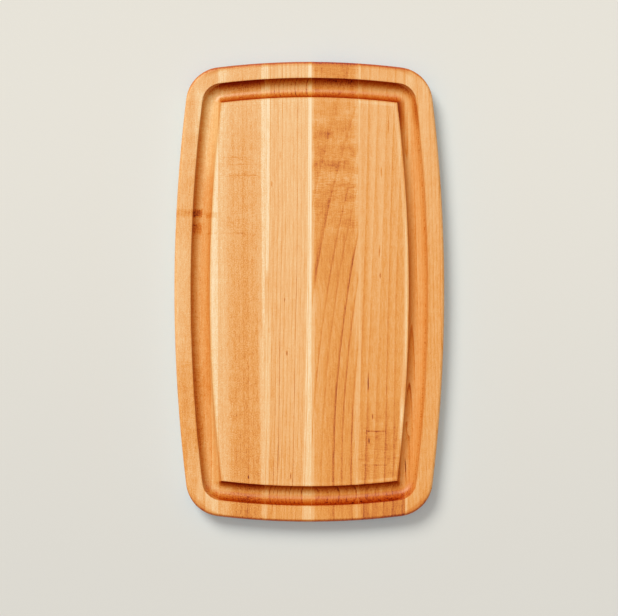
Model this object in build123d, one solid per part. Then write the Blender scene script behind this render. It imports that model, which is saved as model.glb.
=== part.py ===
from build123d import *

import os

# A carving board: six solid wood staves glued edge to edge, cut to a bowed outline, with a
# round-bottomed juice groove that runs parallel to the outline. Lengths are in millimetres.
# The origin is at the centre of the underside, +Y runs along the grain and +Z is up.

# Driving dimensions of the panel
board_length = 457.2
board_width = 268.4
board_thickness = 19.05
side_radius = 1570.0
end_radius = 750.0
corner_radius = 36.0
edge_radius = 3.2

# Driving dimensions of the juice groove
rim_width = 16.4
groove_width = 19.05
groove_depth = 8.0
lip_chamfer = 0.4

# Driving dimensions of the glue-up: joints are evenly spaced either side of the middle one
stave_names = [
    "outer_left_stave",
    "left_stave",
    "centre_left_stave",
    "centre_right_stave",
    "right_stave",
    "outer_right_stave",
]
stave_pitch = 46.4
middle_joint_x = 2.3
glue_thickness = 0.15


def outline(inset):
    """The board's outline moved inwards by inset: bowed sides, bowed ends and round corners."""
    side_shift = side_radius - board_width / 2
    end_shift = end_radius - board_length / 2
    side_disc = Circle(side_radius - inset)
    end_disc = Circle(end_radius - inset)
    between_sides = Pos(-side_shift, 0) * side_disc & Pos(side_shift, 0) * side_disc
    between_ends = Pos(0, -end_shift) * end_disc & Pos(0, end_shift) * end_disc
    sharp_cornered = between_sides & between_ends
    return fillet(sharp_cornered.vertices(), corner_radius - inset)


def blank():
    """The panel before grooving, with its upper and lower edges rounded over."""
    slab = extrude(outline(0), board_thickness)
    flat_faces = slab.faces().filter_by(Axis.Z)
    return fillet(flat_faces.edges(), edge_radius)


def groove_section():
    """The groove's cross-section: a round floor between two walls whose lips are chamfered.

    The cutting surface is at Y = 0 with the floor below it. The section carries on above the
    surface, so that it cuts clear through.
    """
    cutter_radius = (groove_width**2 / 4 + groove_depth**2) / (2 * groove_depth)
    cutter_height = cutter_radius - groove_depth
    wall_x = (cutter_radius**2 - (cutter_height + lip_chamfer) ** 2) ** 0.5
    lip_x = wall_x + lip_chamfer
    left_wall = (-wall_x, -lip_chamfer)
    right_wall = (wall_x, -lip_chamfer)
    floor = RadiusArc(left_wall, right_wall, -cutter_radius)
    lid = Polyline(right_wall, (lip_x, 0), (lip_x, groove_depth), (-lip_x, groove_depth), (-lip_x, 0), left_wall)
    return make_face(Curve() + [floor, lid])


def groove():
    """The juice groove as a solid: its section carried round a line parallel to the outline."""
    flat_line = outline(rim_width + groove_width / 2).wires()[0]
    centre_line = Pos(0, 0, board_thickness) * flat_line
    heading = centre_line % 0
    across = Vector(0, 0, 1).cross(heading)
    start = Plane(origin=centre_line @ 0, x_dir=across, z_dir=heading)
    return sweep(start * groove_section(), path=centre_line)


def slice_between(panel, low_x, high_x):
    """The part of the panel between two planes square to X."""
    cutter = Box(high_x - low_x, 2 * board_length, 4 * board_thickness)
    return panel & Pos((low_x + high_x) / 2, 0) * cutter


def glue_joints():
    """The X of each glue joint, from left to right."""
    joint_count = len(stave_names) - 1
    return [middle_joint_x + stave_pitch * (i - joint_count // 2) for i in range(joint_count)]


def sub_parts():
    """Every stave and every glue film, by name."""
    panel = blank() - groove()
    joints = glue_joints()
    film_edge = glue_thickness / 2
    left_edges = [-board_width] + [x + film_edge for x in joints]
    right_edges = [x - film_edge for x in joints] + [board_width]
    parts = {}
    for name, left, right in zip(stave_names, left_edges, right_edges):
        parts[name] = slice_between(panel, left, right)
    for number, x in enumerate(joints, start=1):
        parts[f"glue_line_{number}"] = slice_between(panel, x - film_edge, x + film_edge)
    return parts


os.makedirs("parts", exist_ok=True)
for name, shape in sub_parts().items():
    shape.label = name
    export_step(shape, f"parts/{name}.step")
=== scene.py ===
import math
from dataclasses import dataclass

import bpy
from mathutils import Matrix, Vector


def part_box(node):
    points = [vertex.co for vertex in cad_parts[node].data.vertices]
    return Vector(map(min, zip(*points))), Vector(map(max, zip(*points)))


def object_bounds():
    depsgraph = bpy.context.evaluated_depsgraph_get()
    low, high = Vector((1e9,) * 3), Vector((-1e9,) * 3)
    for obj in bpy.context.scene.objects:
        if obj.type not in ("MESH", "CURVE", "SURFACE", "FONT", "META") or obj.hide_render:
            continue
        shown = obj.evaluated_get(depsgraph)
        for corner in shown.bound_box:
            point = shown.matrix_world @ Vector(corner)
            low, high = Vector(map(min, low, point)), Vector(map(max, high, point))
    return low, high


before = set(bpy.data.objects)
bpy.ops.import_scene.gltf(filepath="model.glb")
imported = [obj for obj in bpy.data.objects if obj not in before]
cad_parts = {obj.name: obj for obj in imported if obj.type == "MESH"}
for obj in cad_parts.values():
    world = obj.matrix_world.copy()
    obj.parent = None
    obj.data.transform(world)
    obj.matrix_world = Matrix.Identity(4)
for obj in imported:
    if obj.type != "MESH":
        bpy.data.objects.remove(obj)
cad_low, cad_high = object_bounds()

# The oiled hardwood carving board, seen straight from above on a pale floor. Each stave keeps its
# CAD shape and gets its own solid wood. Growth rings, sapwood bands, fibres and ripples run through
# the whole piece, so that the top, the groove and the ends agree.

MM = 0.001
board_low, board_high = cad_low / MM, cad_high / MM
board_top = board_high.z
half_width = board_high.x
half_length = board_high.y

# The outline's bow and corners, and the juice groove beside it, in millimetres
side_radius = 1570.0
end_radius = 750.0
corner_radius = 36.0
rim_width = 16.4
groove_width = 19.05

# Soft limits, from where a place begins to where it is fully reached, in millimetres: the groove's
# runs along the sides (x) and across the ends (y), the near rim (y), and the upper part of the
# board, which holds the groove (z)
side_run_start, side_run_full = 60.0, 90.0
end_run_start, end_run_full = 175.0, 190.0
near_rim_start, near_rim_full = -195.0, -215.0
upper_part_start, upper_part_full = 8.0, 10.0

past_the_ends = 400.0          # further along the board than either end
soft_white = (1.0, 1.0, 0.985)


# ---------------------------------------------------------------------------------------------
# Shader arithmetic
# ---------------------------------------------------------------------------------------------

def linear(red, green, blue):
    """A display colour, 0 to 255, as the linear colour that shaders use."""
    colour = []
    for channel in (red / 255, green / 255, blue / 255):
        dark = channel <= 0.04045
        colour.append(channel / 12.92 if dark else ((channel + 0.055) / 1.055) ** 2.4)
    return (*colour, 1.0)


def fill_ramp(ramp_node, stops):
    """Gives a colour ramp its (position, colour) stops, in rising order."""
    elements = ramp_node.color_ramp.elements
    while len(elements) < len(stops):
        elements.new(1.0)
    for element, (position, colour) in zip(elements, stops):
        element.position = position
        element.color = colour


class Field:
    """A number that varies over a surface. Arithmetic on fields adds Math nodes to their graph."""

    def __init__(self, graph, socket):
        self.graph = graph
        self.socket = socket

    def __add__(self, other):
        return self.graph.math("ADD", self, other)

    def __sub__(self, other):
        return self.graph.math("SUBTRACT", self, other)

    def __rsub__(self, other):
        return self.graph.math("SUBTRACT", other, self)

    def __mul__(self, other):
        return self.graph.math("MULTIPLY", self, other)

    def __truediv__(self, other):
        return self.graph.math("DIVIDE", self, other)

    def __abs__(self):
        return self.graph.math("ABSOLUTE", self)

    __radd__ = __add__
    __rmul__ = __mul__


class Graph:
    """The node tree of one material, with a short method for each kind of node that it needs."""

    def __init__(self, name):
        self.material = bpy.data.materials.new(name)
        self.material.use_nodes = True
        self.tree = self.material.node_tree
        self.tree.nodes.clear()

    def node(self, kind, inputs, **settings):
        """A new node. inputs has a field or a value for each input, by its name or number."""
        made = self.tree.nodes.new(kind)
        for key, value in settings.items():
            setattr(made, key, value)
        for key, value in inputs.items():
            if isinstance(value, Field):
                self.tree.links.new(value.socket, made.inputs[key])
            else:
                made.inputs[key].default_value = value
        return made

    def math(self, operation, *values):
        made = self.node("ShaderNodeMath", dict(enumerate(values)), operation=operation)
        return Field(self, made.outputs[0])

    def hypotenuse(self, *sides):
        return self.math("SQRT", sum(side * side for side in sides))

    def split(self, vector):
        made = self.node("ShaderNodeSeparateXYZ", {0: vector})
        return [Field(self, output) for output in made.outputs]

    def join(self, x, y, z):
        made = self.node("ShaderNodeCombineXYZ", {0: x, 1: y, 2: z})
        return Field(self, made.outputs[0])

    def place(self):
        """X, Y and Z in the board's frame, in millimetres."""
        source = self.node("ShaderNodeTexCoord", {})
        metres = Field(self, source.outputs["Object"])
        scaled = self.node("ShaderNodeVectorMath", {0: metres, "Scale": 1 / MM}, operation="SCALE")
        return self.split(Field(self, scaled.outputs[0]))

    def facing(self):
        """X, Y and Z of the surface's direction."""
        source = self.node("ShaderNodeTexCoord", {})
        return self.split(Field(self, source.outputs["Normal"]))

    def noise(self, x, y, z, detail=2.0, roughness=0.5):
        """Smooth noise about zero, mostly within 0.3 either way. The arguments set its scale."""
        inputs = {"Vector": self.join(x, y, z), "Scale": 1.0, "Detail": detail, "Roughness": roughness}
        made = self.node("ShaderNodeTexNoise", inputs)
        return Field(self, made.outputs[0]) - 0.5

    def scatter(self, number):
        """A random value from 0 to 1 for each whole number."""
        made = self.node("ShaderNodeTexWhiteNoise", {"W": number}, noise_dimensions="1D")
        return Field(self, made.outputs[0])

    def step(self, value, start, end):
        """A smooth step from 0 at start to 1 at end. The start may be the larger of the two."""
        inputs = {0: value, 1: start, 2: end, 3: 0.0, 4: 1.0}
        made = self.node("ShaderNodeMapRange", inputs, interpolation_type="SMOOTHSTEP")
        return Field(self, made.outputs[0])

    def band(self, value, centre, half_width, softness):
        """1 within half_width of centre, falling to 0 over twice the softness."""
        return 1.0 - self.step(abs(value - centre), half_width - softness, half_width + softness)

    def stretch(self, value, low, high, softness):
        """1 from low to high and 0 elsewhere, with a soft change at each end."""
        past_low = self.step(value, low - softness, low + softness)
        past_high = self.step(value, high - softness, high + softness)
        return past_low * (1.0 - past_high)

    def palette(self, tone, stops):
        """A colour for each tone from 0 to 1, from (tone, colour) stops."""
        made = self.node("ShaderNodeValToRGB", {0: tone})
        fill_ramp(made, stops)
        return Field(self, made.outputs[0])

    def tint(self, amount, colour, other, blend="MIX"):
        """The colour, changed towards the other by an amount from 0 to 1."""
        inputs = {0: amount, 6: colour, 7: other}
        made = self.node("ShaderNodeMix", inputs, data_type="RGBA", blend_type=blend)
        return Field(self, made.outputs[2])

    def stain(self, colour, pigment, depth):
        """The colour under a stain, here also used for painted shade. pigment is what a stain of depth 1
        lets through.
        """
        filtered = self.node("ShaderNodeGamma", {0: pigment, 1: depth})
        return self.tint(1.0, colour, Field(self, filtered.outputs[0]), blend="MULTIPLY")

    def finish(self, colour, roughness, relief, depth, ior=1.5, shine=0.5):
        """The surface shader and its output. The bumps are relief times depth high, in metres."""
        bump = self.node("ShaderNodeBump", {"Height": relief, "Distance": depth, "Strength": 1.0})
        inputs = {"Base Color": colour, "Roughness": roughness, "Normal": Field(self, bump.outputs[0])}
        inputs.update({"IOR": ior, "Specular IOR Level": shine})
        shader = self.node("ShaderNodeBsdfPrincipled", inputs)
        output = self.node("ShaderNodeOutputMaterial", {})
        self.tree.links.new(shader.outputs[0], output.inputs[0])
        return self.material


# ---------------------------------------------------------------------------------------------
# Places on the board
# ---------------------------------------------------------------------------------------------

def inset_from_outline(graph, x, y):
    """How far in from the board's outline a point is, measured square to the outline."""
    from_side = side_radius - graph.hypotenuse(abs(x) + (side_radius - half_width), y)
    from_end = end_radius - graph.hypotenuse(x, abs(y) + (end_radius - half_length))
    into_corner = [graph.math("MAXIMUM", corner_radius - reach, 0.0) for reach in (from_side, from_end)]
    beyond_corner = graph.math("MAXIMUM", graph.math("MINIMUM", from_side, from_end) - corner_radius, 0.0)
    return corner_radius - graph.hypotenuse(*into_corner) + beyond_corner


class Spot:
    """Where a point of the board is and which way its surface faces, as fields of one graph.

    x, y, z and inset are in millimetres, and face_x, face_y and face_z are a direction of length 1.
    The walls, halves and runs go from 0, outside them, to 1, inside.
    """

    def __init__(self, graph):
        self.x, self.y, self.z = graph.place()
        self.face_x, self.face_y, self.face_z = graph.facing()
        self.side_wall = self.face_x * self.face_x
        self.end_wall = self.face_y * self.face_y
        self.end_grain = graph.step(abs(self.face_y), 0.05, 0.6)

        # across_groove goes from 0 at the groove's outer lip to 1 at its inner lip
        self.inset = inset_from_outline(graph, self.x, self.y)
        self.across_groove = (self.inset - rim_width) / groove_width
        self.upper_part = graph.step(self.z, upper_part_start, upper_part_full)
        self.groove = graph.band(self.across_groove, 0.5, 0.5, 0.02) * self.upper_part
        self.inner_half = graph.step(self.across_groove, 0.4, 0.6)

        self.left_run = graph.step(self.x, -side_run_start, -side_run_full)
        self.right_run = graph.step(self.x, side_run_start, side_run_full)
        self.far_run = self.groove * graph.step(self.y, end_run_start, end_run_full)
        self.near_run = self.groove * graph.step(self.y, -end_run_start, -end_run_full)


# ---------------------------------------------------------------------------------------------
# The staves' looks
# ---------------------------------------------------------------------------------------------

WOOD_PALETTE = [
    (0.00, linear(251, 222, 180)),
    (0.15, linear(244, 203, 149)),
    (0.30, linear(240, 187, 127)),
    (0.45, linear(235, 171, 103)),
    (0.60, linear(227, 149, 63)),
    (0.75, linear(210, 121, 40)),
    (0.90, linear(166, 72, 12)),
    (1.00, linear(112, 34, 3)),
]
OIL_AND_SHADE_FILTER = (0.37, 0.06, 0.0018, 1.0)   # what a deep soak of darkened oil lets through; it also colours the painted shade in the groove and on the rounded ends


@dataclass
class Band:
    """A stripe that follows the grain. u, half_width and soft are across it, near and far along it."""

    u: float
    half_width: float
    soft: float
    tone: float
    near: float = -past_the_ends
    far: float = past_the_ends


@dataclass
class Look:
    """How one stave's wood looks.

    Lengths are in millimetres: u from the stave's left edge, y from the middle of the board and
    z from the underside. Tones run from 0, cream sapwood, to 1, dark brown.
    """

    far_tone: float
    near_tone: float
    pith: tuple              # u and z of the heart of the tree, half way along
    drift: tuple = (0, 0)    # how far the grain moves to +X for each mm of y, and for each mm squared
    lean: tuple = (0, 0)     # how much further the rings move than the rest of the grain
    rise: float = 0          # how far the heart rises for each mm of y
    ring_pitch: float = 5
    ring_line: float = 0.1   # tone of the thin dark line that ends each ring
    ring_body: float = 0.05  # tone gained across each ring
    ring_wander: float = 1.1 # how unevenly the rings are spaced, in rings
    rings_fade: float = past_the_ends   # y beyond which the rings grow faint
    groove_rings: float = 1  # how many times as strong the rings are where the groove cuts them
    grain: float = 1.0       # strength of the broad stripes along the grain
    streak: float = 0.3      # tone of the fine streaks along the grain
    streak_length: float = 7 # their length
    speckle: float = 0.2     # tone of the fine specks
    end_wall_shade_depth: float = 1.0      # how dark the oil soak and the painted shade make the shaded walls of the groove's end runs
    far_run_painted_shade: float = 0  # tone of painted shade on the shaded half of the far run
    lip_highlight: float = -0.04  # tone of the painted highlight on the flat top along the groove's inner lip
    cup: float = 0           # how far the bands lean to +X for each mm below the upper face
    bands: tuple = ()        # of Band
    ripples: tuple = ()      # (y, half length, tone) of stretches with figure across the grain
    flecks: tuple = ()       # (u, y, half length, tone) of short dark marks in the upper face
    stains: tuple = ()       # (u, half width, y, half length, tone) of marks across the grain


LOOKS = {
    "outer_left_stave": Look(
        far_tone=0.35,
        near_tone=0.55,
        pith=(-60, -90),
        drift=(0.02, 0.0),
        ring_pitch=7,
        ring_line=0.03,
        ring_body=0.05,
        streak=0.40,
        speckle=0.62,
        cup=0.7,
        bands=(
            Band(42.0, 7.2, 0.4, -0.32, near=-230, far=185),
            Band(12.0, 5.0, 4.0, 0.05),
            Band(8.0, 9.0, 4.0, -0.11, near=-70, far=50),
            Band(22.0, 6.0, 3.0, -0.07),
            Band(21.8, 5.2, 0.4, 0.09, near=-158, far=-75),
            Band(30.0, 9.0, 3.0, -0.22, near=118, far=195),
            Band(34.0, 6.0, 3.0, -0.08, near=155, far=195),
            Band(37.2, 3.8, 1.0, 0.10, far=-125),
            Band(32.0, 5.0, 2.0, -0.13, far=-110),
            Band(23.0, 40.0, 1.0, 0.10, near=208),
        ),
        ripples=((150, 70, 0.09), (-60, 80, 0.07)),
        stains=(
            (13.5, 14.0, 78, 3.6, 0.13),
            (23.0, 4.6, 78, 3.6, 0.30),
            (22.5, 4.4, 63, 5.5, 0.26),
            (37.0, 6.0, 76, 2.6, 0.16),
            (37.0, 6.0, 58, 1.0, 0.10),
        ),
    ),
    "left_stave": Look(
        far_tone=0.35,
        near_tone=0.55,
        pith=(-140, 0),
        drift=(-0.01, 0.00002),
        ring_pitch=4.5,
        ring_line=0.09,
        ring_body=0.04,
        grain=0.6,
        streak=0.36,
        speckle=0.75,
        end_wall_shade_depth=1.3,
        far_run_painted_shade=0.15,
        bands=(
            Band(0.0, 9.0, 4.0, -0.14),
            Band(26.0, 13.0, 6.0, 0.05),
            Band(26.5, 1.6, 1.2, 0.06),
            Band(47.2, 3.4, 0.8, -0.26, near=-40),
            Band(43.2, 2.8, 1.4, -0.21, far=-40),
            Band(43.0, 4.0, 2.0, -0.05, near=-30, far=50),
            Band(20.0, 30.0, 1.0, -0.04, near=160),
            Band(44.0, 9.0, 3.0, 0.08, near=214),
        ),
        ripples=((125, 16, 0.14), (67, 14, 0.12), (-120, 60, 0.05)),
        flecks=((30.0, -184, 3.0, 0.3),),
        stains=(
            (14.0, 11.0, 58.2, 0.4, 0.14),
            (20.0, 16.0, 133.4, 0.5, 0.10),
            (26.0, 13.0, 126.4, 0.5, 0.12),
            (25.0, 14.0, 115.5, 0.6, 0.12),
        ),
    ),
    "centre_left_stave": Look(
        far_tone=0.27,
        near_tone=0.43,
        pith=(-180, 100),
        drift=(0.014, -0.000037),
        ring_pitch=3.6,
        ring_line=0.35,
        ring_body=0.05,
        ring_wander=0.6,
        groove_rings=2.0,
        grain=0.6,
        streak=0.40,
        streak_length=16,
        speckle=0.52,
        end_wall_shade_depth=0.82,
        far_run_painted_shade=0.03,
        bands=(
            Band(0.0, 3.6, 0.6, -0.24, near=20),
            Band(4.2, 2.8, 1.4, -0.16, far=-20),
            Band(46.6, 4.8, 0.5, -0.30, near=-90),
            Band(46.6, 4.8, 0.5, -0.24, far=-90),
            Band(46.6, 4.8, 0.5, -0.10, near=60),
            Band(8.0, 3.0, 2.0, 0.05),
            Band(2.9, 1.2, 0.5, 0.20, near=206),
            Band(22.0, 30.0, 4.0, 0.04, far=-150),
        ),
        flecks=(
            (6.6, 107, 4.0, 0.35),
            (15.0, 135, 6.0, 0.22),
            (19.5, -8, 3.0, 0.25),
            (21.7, -61, 3.5, 0.45),
            (25.5, -183, 5.0, 0.35),
            (4.0, -38, 4.0, 0.2),
        ),
    ),
    "centre_right_stave": Look(
        far_tone=0.53,
        near_tone=0.61,
        pith=(-45, -50),
        lean=(0.155, 0.0004),
        ring_pitch=7.6,
        ring_line=0.24,
        ring_body=0.05,
        rings_fade=95,
        groove_rings=1.4,
        grain=0.5,
        streak=0.34,
        streak_length=12,
        speckle=0.44,
        end_wall_shade_depth=0.9,
        far_run_painted_shade=0.08,
        bands=(
            Band(0.0, 2.6, 1.2, -0.20),
            Band(7.0, 5.0, 4.0, -0.06, far=10),
            Band(46.0, 3.6, 2.0, -0.14),
            Band(22.0, 30.0, 10.0, 0.05, near=5, far=165),
            Band(20.0, 40.0, 1.0, 0.14, near=214),
            Band(20.0, 40.0, 1.0, -0.04, far=-212),
        ),
        ripples=((140, 45, 0.20), (85, 30, 0.16), (222, 12, 0.16)),
        flecks=((0.6, 211, 1.6, 0.5),),
        stains=(
            (11.0, 10.5, 160, 8.0, 0.08),
            (30.7, 9.0, 165, 6.0, 0.08),
            (19.0, 17.5, 127, 3.5, 0.08),
        ),
    ),
    "right_stave": Look(
        far_tone=0.43,
        near_tone=0.64,
        pith=(110, -70),
        lean=(0.03, 0.0),
        ring_pitch=6.0,
        ring_line=0.10,
        ring_body=0.12,
        streak=0.30,
        speckle=0.34,
        end_wall_shade_depth=0.9,
        lip_highlight=-0.12,
        bands=(
            Band(-0.5, 2.8, 1.4, -0.16),
            Band(14.0, 3.0, 2.0, -0.06),
            Band(22.0, 3.0, 2.0, -0.05),
            Band(20.0, 40.0, 1.0, 0.05, near=214),
            Band(20.0, 60.0, 1.0, 0.05, far=-115),
            Band(46.5, 5.0, 1.0, -0.31, near=-196, far=-110),
        ),
        ripples=((-160, 30, 0.14),),
        flecks=(
            (29.8, 165, 10.0, 0.25),
            (22.8, 119, 7.0, 0.25),
            (20.8, 40, 9.0, 0.25),
            (21.5, 16, 4.0, 0.4),
            (9.6, -90, 11.0, 0.28),
            (14.0, -124, 4.0, 0.28),
            (10.5, -148, 4.0, 0.32),
        ),
        stains=((17.0, 9.5, -138.5, 0.7, 0.18), (16.0, 12.0, -172, 0.5, 0.14)),
    ),
    "outer_right_stave": Look(
        far_tone=0.43,
        near_tone=0.52,
        pith=(-53.4, -65.1),
        drift=(0.02, 0.0),
        rise=-0.037,
        ring_pitch=2.4,
        ring_line=0.14,
        ring_body=0.06,
        ring_wander=0.5,
        groove_rings=3.0,
        streak=0.30,
        speckle=0.34,
        lip_highlight=-0.2,
        bands=(
            Band(0.0, 3.2, 0.8, -0.12),
            Band(14.5, 4.0, 2.0, -0.06),
            Band(25.0, 30.0, 4.0, 0.03, near=-80, far=60),
            Band(3.6, 2.6, 1.0, -0.22, far=-200),
            Band(25.0, 16.0, 2.0, 0.05, far=-195),
        ),
    ),
}


# ---------------------------------------------------------------------------------------------
# Wood, with painted shade in the groove and a painted highlight on its inner lip. Each of these gives a
# tone to add, unless it says otherwise.
# ---------------------------------------------------------------------------------------------

def base_tone(graph, look, y):
    """The tone from end to end, a little darker on the near rim."""
    from_near_end = y / (2 * half_length) + 0.5
    darker_rim = graph.step(y, -203.0, -214.0)
    return look.near_tone + from_near_end * (look.far_tone - look.near_tone) + darker_rim * 0.06


def growth_rings(graph, look, u, y, z):
    """Each ring darkens across its width and ends in a thin line."""
    fade_reach = 40.0
    radius = graph.hypotenuse(u - look.pith[0], z - look.pith[1])
    even_count = radius / look.ring_pitch
    uneven = graph.noise(even_count * 0.55, y * 0.002, 0.0, detail=1.0) * look.ring_wander
    count = even_count + uneven
    along = graph.math("FRACT", count)
    strength = 0.35 + 0.95 * graph.scatter(graph.math("FLOOR", count))
    fade = 0.75 + graph.noise(u * 0.1, y * 0.012, z * 0.1) * 1.4
    fade *= 1.0 - graph.step(y, look.rings_fade - fade_reach, look.rings_fade + fade_reach) * 0.75
    fade *= 1.0 - graph.step(y, near_rim_start, near_rim_full) * 0.5
    line = graph.step(along, 0.72, 0.93) * (1.0 - graph.step(along, 0.94, 1.0))
    body = along - 0.5
    return line * strength * fade * look.ring_line + body * look.ring_body


def fibres(graph, look, u, y, z):
    """Fine streaks along the grain, from broad to hair thin, and specks among them."""
    broad = graph.noise(u * 0.16, y * 0.006, z * 0.16)
    middle = graph.noise(u * 0.45, y * 0.02, z * 0.45, detail=2.0, roughness=0.6)
    hair = graph.noise(u * 1.1, y / look.streak_length, z * 0.4, detail=1.0, roughness=0.6)
    specks = graph.noise(u * 1.2, y * 0.95, z * 1.2, detail=1.0, roughness=0.6)
    stripes = (broad * 0.10 + middle * 0.12) * look.grain
    return stripes + hair * look.streak + specks * look.speckle


def pores(graph, u, y, z):
    """Short thin dashes along the grain, from 0 to 1."""
    return graph.step(graph.noise(u * 1.3, y * 0.22, z * 1.3, detail=1.0), 0.14, 0.28)


def rippled_figure(graph, look, u, y, z):
    """Figure across the grain where the fibres wave, strongest in the look's stretches."""
    wave = graph.noise(u * 0.035, y * 0.11, z * 0.05, detail=2.0, roughness=0.55)
    cross = graph.noise(u * 0.16, y * 1.0, z * 0.1, detail=1.0, roughness=0.6)
    patch = graph.noise(u * 0.05, y * 0.05, z * 0.05, detail=1.0)
    tone = wave * 0.05
    for middle, reach, strength in look.ripples:
        rippled = graph.band(y, middle, reach, reach * 0.5)
        tone += rippled * (wave * 1.6 + cross * 1.7 + patch * 0.8) * strength
    return tone


def grain_bands(graph, look, u, y, z):
    """The look's bands, which follow the grain and fade out at their ends."""
    end_fade = 12.0
    cupped_u = u - (board_top - z) * look.cup
    tone = 0.0
    for band in look.bands:
        across = graph.band(cupped_u, band.u, band.half_width, band.soft)
        tone += across * graph.stretch(y, band.near, band.far, end_fade) * band.tone
    return tone


def fleck_marks(graph, look, straight_u, y, z):
    """The look's flecks: slim spindles in the upper face."""
    fleck_half_width = 0.9
    fleck_depth = 3.0
    tone = 0.0
    for middle, y_middle, reach, strength in look.flecks:
        across = (straight_u - middle) / fleck_half_width
        along = (y - y_middle) / reach
        down = (z - board_top) / fleck_depth
        tone += (1.0 - graph.step(graph.hypotenuse(across, along, down), 0.35, 1.0)) * strength
    return tone


def stain_marks(graph, look, u, straight_u, y, z):
    """The look's stains: ragged patches and lines across the grain, which the underside is free of."""
    ragged = graph.noise(u * 0.3, y * 0.3, z * 0.3)
    above_the_underside = graph.step(z, 2.0, 7.0)
    tone = 0.0
    for middle, reach_across, y_middle, reach, strength in look.stains:
        across = graph.band(straight_u + ragged * 3.0, middle, reach_across, 0.6)
        along = graph.band(y + ragged * reach, y_middle, reach, reach * 0.5)
        tone += across * along * above_the_underside * strength
    return tone


def cutter_marks(graph, spot, pore, seed):
    """Chatter on the left run's outer wall, ticks just inside the outer lip, and opened pores."""
    chatter = graph.noise(spot.inset * 0.2, spot.y * 0.42, seed, detail=2.0, roughness=0.6)
    left_outer_wall = graph.band(spot.across_groove, 0.16, 0.2, 0.1) * spot.groove * spot.left_run
    tick_line = graph.band(spot.across_groove, 0.10, 0.03, 0.015) * spot.groove
    ticks = tick_line * graph.step(graph.noise(spot.x * 0.3, spot.y * 0.9, seed), 0.0, 0.1)
    return chatter * left_outer_wall * 0.5 + pore * (0.05 + spot.groove * 0.08) + ticks * 0.24


def groove_tones(graph, look, spot):
    """The paler stretches of the right run, painted shade that the look adds to the far run's shaded half,
    and painted light that lifts the near run's shaded half.
    """
    pale_outer_half = graph.band(spot.across_groove, 0.2, 0.3, 0.1) * graph.band(spot.y, -40.0, 55.0, 30.0)
    pale_floor = graph.band(spot.across_groove, 0.42, 0.16, 0.08) * graph.step(spot.y, -20.0, 30.0)
    pale_right_run = (pale_outer_half + pale_floor) * spot.groove * spot.right_run
    # Painted shade: the end runs' halves facing away from the light are toned darker at the far end and
    # paler at the near end.
    shaded_half = 1.0 - graph.step(spot.face_y, -0.05, 0.15)
    end_run_shade = spot.far_run * look.far_run_painted_shade - spot.near_run * 0.05
    return shaded_half * end_run_shade - pale_right_run * 0.08


def inner_lip_highlight(graph, look, spot):
    """A narrow painted highlight on the flat top, just inside the groove."""
    from_lip = spot.inset - (rim_width + groove_width)
    # A painted highlight: the flat top is paler in a narrow line along the groove's inner lip.
    return graph.band(from_lip, 2.9, 1.5, 0.6) * spot.upper_part * look.lip_highlight


def rounded_edge_soak_and_shade(graph, spot):
    """The darkening of the round-over at the board's two ends, partly an oil soak in the end grain and
    partly painted shade. The far one is faint near the corners.
    """
    # Partly painted shade: the rounded ends are darkened.
    rounded = graph.step(spot.face_z, -0.2, 0.5)
    mid_end = 1.0 - graph.step(abs(spot.x), 85.0, 110.0) * 0.85
    far_edge = (1.0 - graph.step(spot.inset, 0.5, 5.2)) * graph.step(spot.y, 203.0, 223.0) * mid_end
    near_rim = graph.step(spot.y, near_rim_start, near_rim_full)
    near_edge = (1.0 - graph.step(spot.inset, 0.5, 3.4)) * near_rim
    return rounded * (far_edge * 0.3 + near_edge * 0.13)


def oil_soak_and_painted_shade(graph, look, spot):
    """How deep the oil's stain and the painted shade are, not a tone: cut walls and end grain drink the
    most.

    The groove's walls are painted darker as shade where they face away from the light, and stay lighter
    where they face it. Its corner at the far right is painted darker still, as shade.
    """
    # Painted shade: the groove's far right corner is darkened.
    far_right_corner = spot.right_run * graph.step(spot.y, 155.0, 180.0)
    shaded_side = spot.side_wall * (0.18 + spot.left_run * 0.14 + far_right_corner * 0.7)
    shaded_wall_soak_and_shade = spot.end_wall * (1.1 * look.end_wall_shade_depth) + shaded_side
    lit_side = spot.side_wall * (0.06 + far_right_corner * 0.3)
    lit_soak = spot.end_wall * (0.82 + spot.inner_half * 0.1) + lit_side + spot.near_run * 0.03 + 0.03
    # Painted shade and light: walls facing away from the light take the darker shaded value, walls facing
    # it the lighter lit value.
    facing_light = graph.step(spot.face_y - spot.face_x, 0.0, 0.08)
    groove_soak_and_shade = shaded_wall_soak_and_shade + facing_light * (lit_soak - shaded_wall_soak_and_shade)
    outer_soak = spot.end_grain * 0.26 + spot.end_wall * 0.12 + spot.side_wall * 0.03
    lip_soak = graph.band(spot.across_groove, 0.5, 0.56, 0.06) * spot.upper_part * 0.07
    cut_soak_and_shade = spot.groove * groove_soak_and_shade + (1.0 - spot.groove) * outer_soak
    return cut_soak_and_shade + lip_soak + rounded_edge_soak_and_shade(graph, spot)


def end_run_gleam(graph, spot):
    """How much the oil shines, not a tone: 1 where the end runs slope gently towards the light."""
    gentle_slope = graph.step(spot.face_y, 0.0, 0.16) * (1.0 - graph.step(spot.face_y, 0.26, 0.5))
    return gentle_slope * (spot.far_run + spot.near_run)


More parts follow.
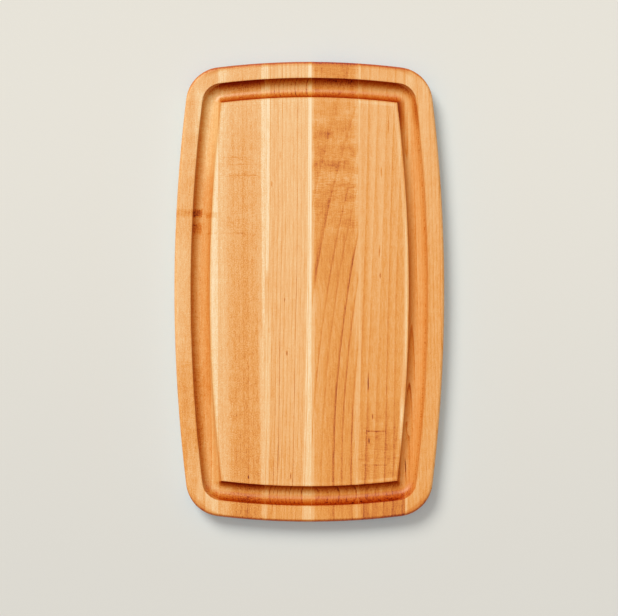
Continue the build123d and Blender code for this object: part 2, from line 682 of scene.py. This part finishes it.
def stave_wood(name, look):
    """The oiled wood of one stave, as a material."""
    graph = Graph(f"{name}_wood")
    spot = Spot(graph)
    x, y, z = spot.x, spot.y, spot.z
    left_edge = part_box(name)[0].x / MM
    seed = 37.0 * list(LOOKS).index(name)

    # u is measured across the grain from the stave's left edge
    straight_u = x - left_edge
    wander = graph.noise(x * 0.03 + seed, y * 0.006, z * 0.03, detail=1.0) * 2.0
    u = straight_u - y * look.drift[0] - y * y * look.drift[1] + wander
    ring_u = u - y * look.lean[0] - y * y * look.lean[1]
    shifted_u = u + seed

    fibre = fibres(graph, look, shifted_u, y, z)
    pore = pores(graph, shifted_u, y, z)
    rings = growth_rings(graph, look, ring_u, y, z - y * look.rise)
    cut_across = spot.groove * graph.math("MAXIMUM", spot.inner_half, spot.end_grain)
    rings *= 1.0 + cut_across * (look.groove_rings - 1)

    tone = base_tone(graph, look, y) + rings + fibre * (1.0 + spot.end_grain * 1.5)
    tone += rippled_figure(graph, look, straight_u + seed, y, z)
    tone += grain_bands(graph, look, u, y, z)
    tone += fleck_marks(graph, look, straight_u, y, z)
    tone += stain_marks(graph, look, u, straight_u, y, z)
    tone += inner_lip_highlight(graph, look, spot)
    tone += cutter_marks(graph, spot, pore, seed)
    tone += groove_tones(graph, look, spot)
    # The oil's stain darkens the wood, and so does painted shade on the groove's walls and the rounded
    # ends.
    colour = graph.stain(graph.palette(tone, WOOD_PALETTE), OIL_AND_SHADE_FILTER, oil_soak_and_painted_shade(graph, look, spot))

    gleam = end_run_gleam(graph, spot)
    shine = 0.5 - spot.groove * (0.25 + spot.end_wall * 0.3) + gleam * 0.55
    roughness = 0.46 + fibre * 0.3 + spot.end_grain * 0.12 + spot.groove * 0.06 - gleam * 0.14
    relief = fibre * 0.8 - pore * 0.5 + rings * 0.5
    return graph.finish(colour, roughness, relief, depth=0.08 * MM, ior=1.45, shine=shine)


def glue():
    """The cured glue in the joints: amber, a little glossier than the wood, with faint specks."""
    graph = Graph("cured_glue")
    x, y, z = graph.place()
    speck = graph.noise(x * 2.0, y * 0.4, z * 2.0, detail=2.0)
    colour = graph.palette(0.55 + speck * 0.3, WOOD_PALETTE)
    return graph.finish(colour, 0.35 + speck * 0.2, speck, depth=0.04 * MM)


def dress_board():
    """Gives every CAD node its material."""
    cured_glue = glue()
    for name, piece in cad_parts.items():
        material = stave_wood(name, LOOKS[name]) if name in LOOKS else cured_glue
        for slot in piece.material_slots:
            slot.material = material


# ---------------------------------------------------------------------------------------------
# Floor, light and camera
# ---------------------------------------------------------------------------------------------

def floor_paper():
    """The floor's material: plain and pale, a touch darker towards the viewer's side.

    It is cooler where the board hides the sky, which offsets the warm light that the wood throws.
    """
    graph = Graph("floor_paper")
    x, y, _ = graph.place()
    far = graph.step(y, -400.0, 250.0)
    colour = graph.tint(far, linear(215, 212, 205), linear(226, 222, 213))
    sky = graph.node("ShaderNodeAmbientOcclusion", {"Distance": 0.08})
    open_sky = Field(graph, sky.outputs["AO"]) * 2.0 - 1.0
    colour = graph.tint(open_sky, linear(216, 233, 237), colour)
    grain = graph.noise(x * 0.5, y * 0.5, 0.0, detail=4.0)
    return graph.finish(colour, 0.8 + grain * 0.1, grain, depth=0.05 * MM, shine=0.2)


def floor():
    """A wide square just under the board."""
    reach = 12.0
    gap = 0.1 * MM
    corners = [(-reach, -reach, -gap), (reach, -reach, -gap), (reach, reach, -gap), (-reach, reach, -gap)]
    mesh = bpy.data.meshes.new("floor")
    mesh.from_pydata(corners, [], [(0, 1, 2, 3)])
    mesh.materials.append(floor_paper())
    piece = bpy.data.objects.new("floor", mesh)
    bpy.context.scene.collection.objects.link(piece)


def room_light():
    """A soft room: a pale horizon, dim walls and a broad light overhead."""
    height_and_level = ((0.0, 0.76), (0.12, 0.45), (0.45, 0.385), (0.8, 0.63), (1.0, 0.80))
    stops = []
    for height, level in height_and_level:
        stops.append((height, (*(level * channel for channel in soft_white), 1.0)))
    world = bpy.data.worlds.new("room")
    bpy.context.scene.world = world
    world.use_nodes = True
    tree = world.node_tree
    place = tree.nodes.new("ShaderNodeTexCoord")
    split = tree.nodes.new("ShaderNodeSeparateXYZ")
    brightness = tree.nodes.new("ShaderNodeValToRGB")
    fill_ramp(brightness, stops)
    tree.links.new(place.outputs["Generated"], split.inputs[0])
    tree.links.new(split.outputs["Z"], brightness.inputs[0])
    tree.links.new(brightness.outputs[0], tree.nodes["Background"].inputs["Color"])


def key_light():
    """One large soft light, nearly half way up the sky on the far left."""
    light = bpy.data.lights.new("key", "SUN")
    light.energy = 2.24
    light.angle = math.radians(28)
    light.color = soft_white
    lamp = bpy.data.objects.new("key", light)
    bpy.context.scene.collection.objects.link(lamp)
    towards_board = Vector((0.61, -0.92, -1.0))
    lamp.rotation_euler = towards_board.to_track_quat("-Z", "Y").to_euler()


def camera():
    """A long lens straight above, aimed a little to the near side of the board's middle."""
    focal_length = 100.0
    sensor_width = 36.0
    lengths_in_view = 1.3413
    view_width = lengths_in_view * (board_high.y - board_low.y) * MM
    aim_x = -0.35
    aim_y = -0.0706 * half_length
    aim = Vector((aim_x, aim_y, 0)) * MM
    height = view_width * focal_length / sensor_width
    data = bpy.data.cameras.new("camera")
    data.lens = focal_length
    data.sensor_width = sensor_width
    eye = bpy.data.objects.new("camera", data)
    bpy.context.scene.collection.objects.link(eye)
    eye.location = aim + Vector((0, 0, board_top * MM + height))
    bpy.context.scene.camera = eye


dress_board()
floor()
room_light()
key_light()
camera()
bpy.context.scene.view_settings.view_transform = "Standard"
